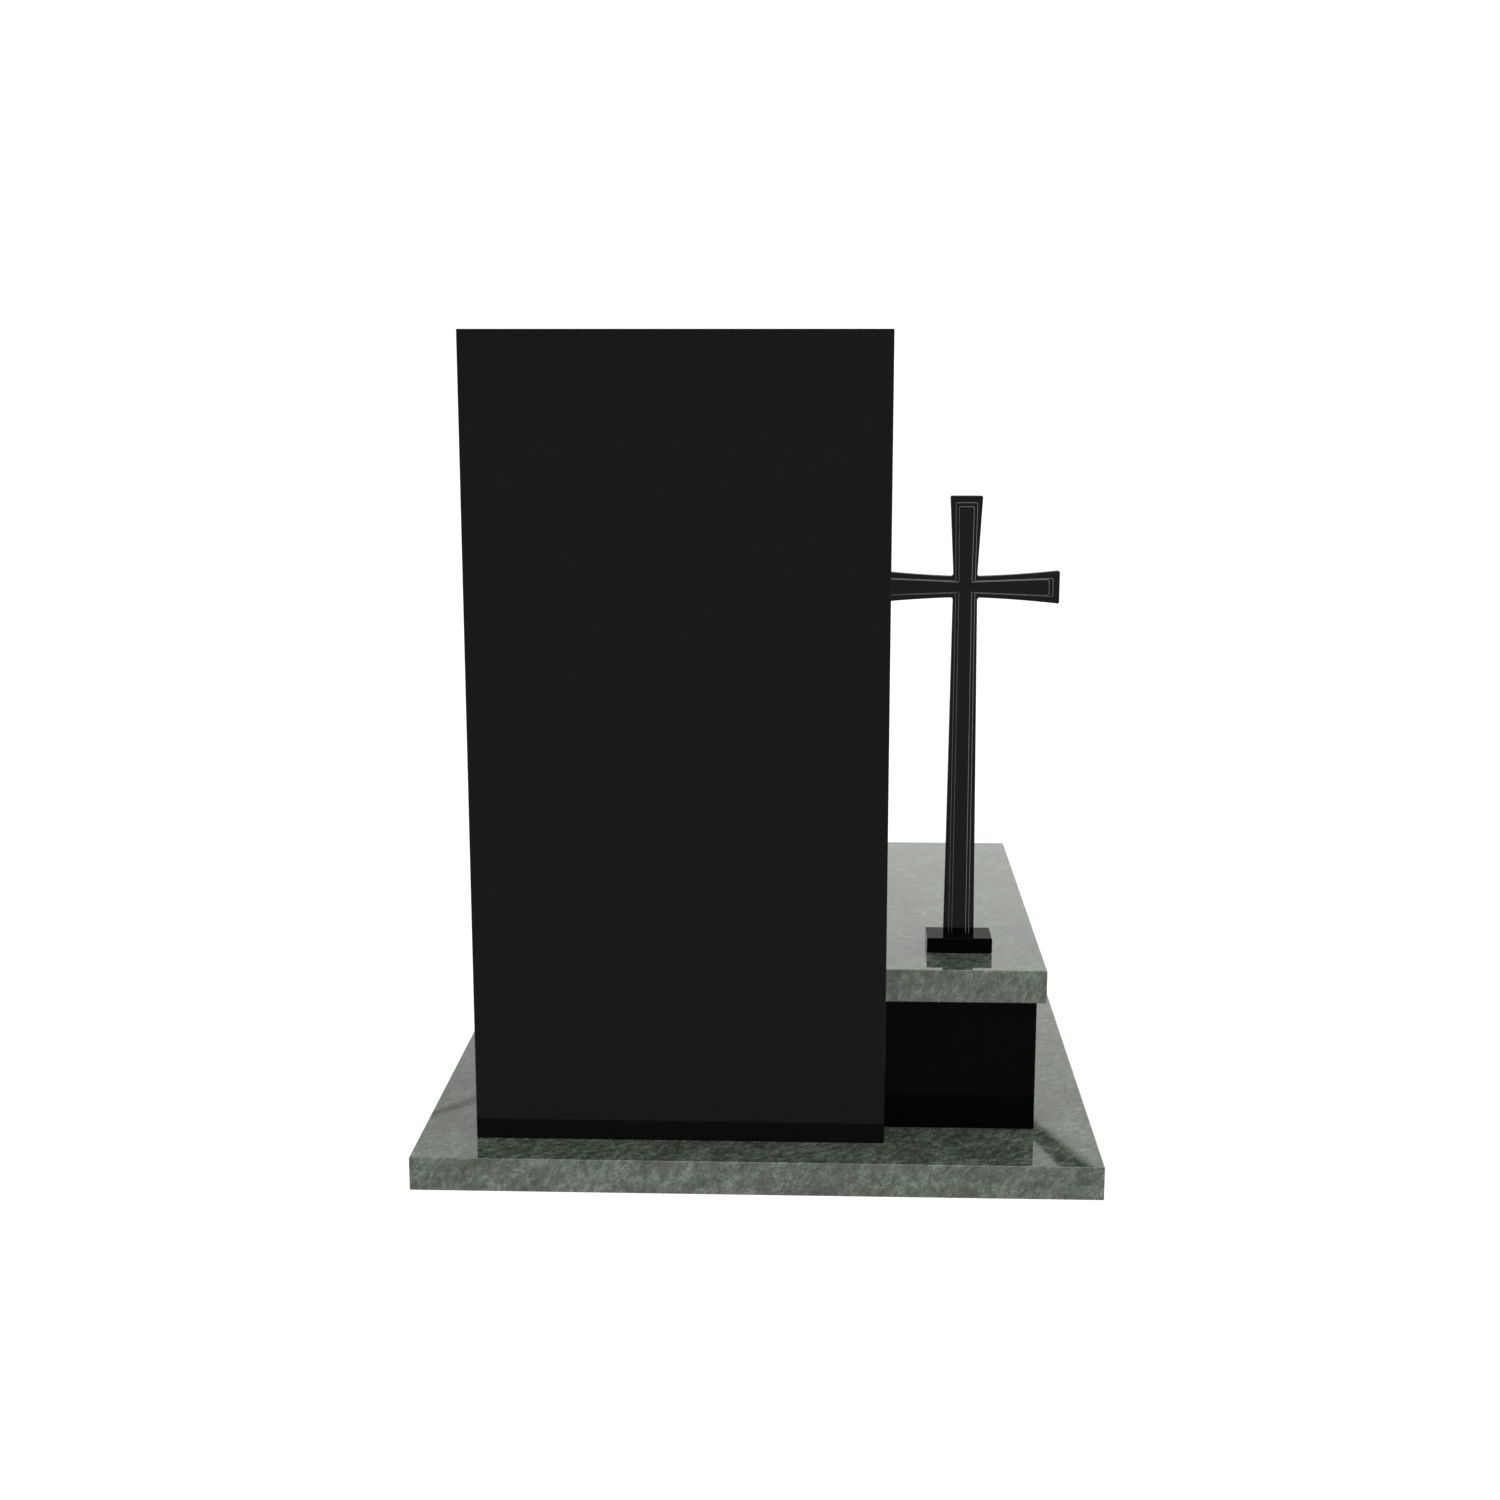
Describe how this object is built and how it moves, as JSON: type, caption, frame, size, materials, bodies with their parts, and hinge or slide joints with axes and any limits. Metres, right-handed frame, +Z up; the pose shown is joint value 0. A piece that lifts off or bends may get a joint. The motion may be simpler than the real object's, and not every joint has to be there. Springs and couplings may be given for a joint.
{
  "type": "urn headstone",
  "caption": "Urn grave headstone: a square base slab with a tall plain upright slab, and behind it a low stone chamber under a cover slab that carries a small flared cross.",
  "frame": {"origin": "centre of the base slab's underside", "axes": "+Z up; -Y is the plain side of the upright slab, which the picture shows; +Y is the side of the chamber and cover slab; +X is the side where the cross stands"},
  "size_m": [1, 1, 1.223],
  "materials": {
    "green_granite": "polished green-grey granite, softly mottled",
    "black_granite": "mirror-polished black granite",
    "cross_granite": "polished black granite with softly eased edges"
  },
  "bodies": {
    "root": {"base_slab": "green_granite", "stele": "black_granite", "chamber_near_wall": "black_granite", "chamber_far_wall": "black_granite", "chamber_left_wall": "black_granite", "chamber_right_wall": "black_granite", "cover_slab": "green_granite", "cross_foot": "cross_granite", "cross": "cross_granite"}
  },
  "joints": []
}
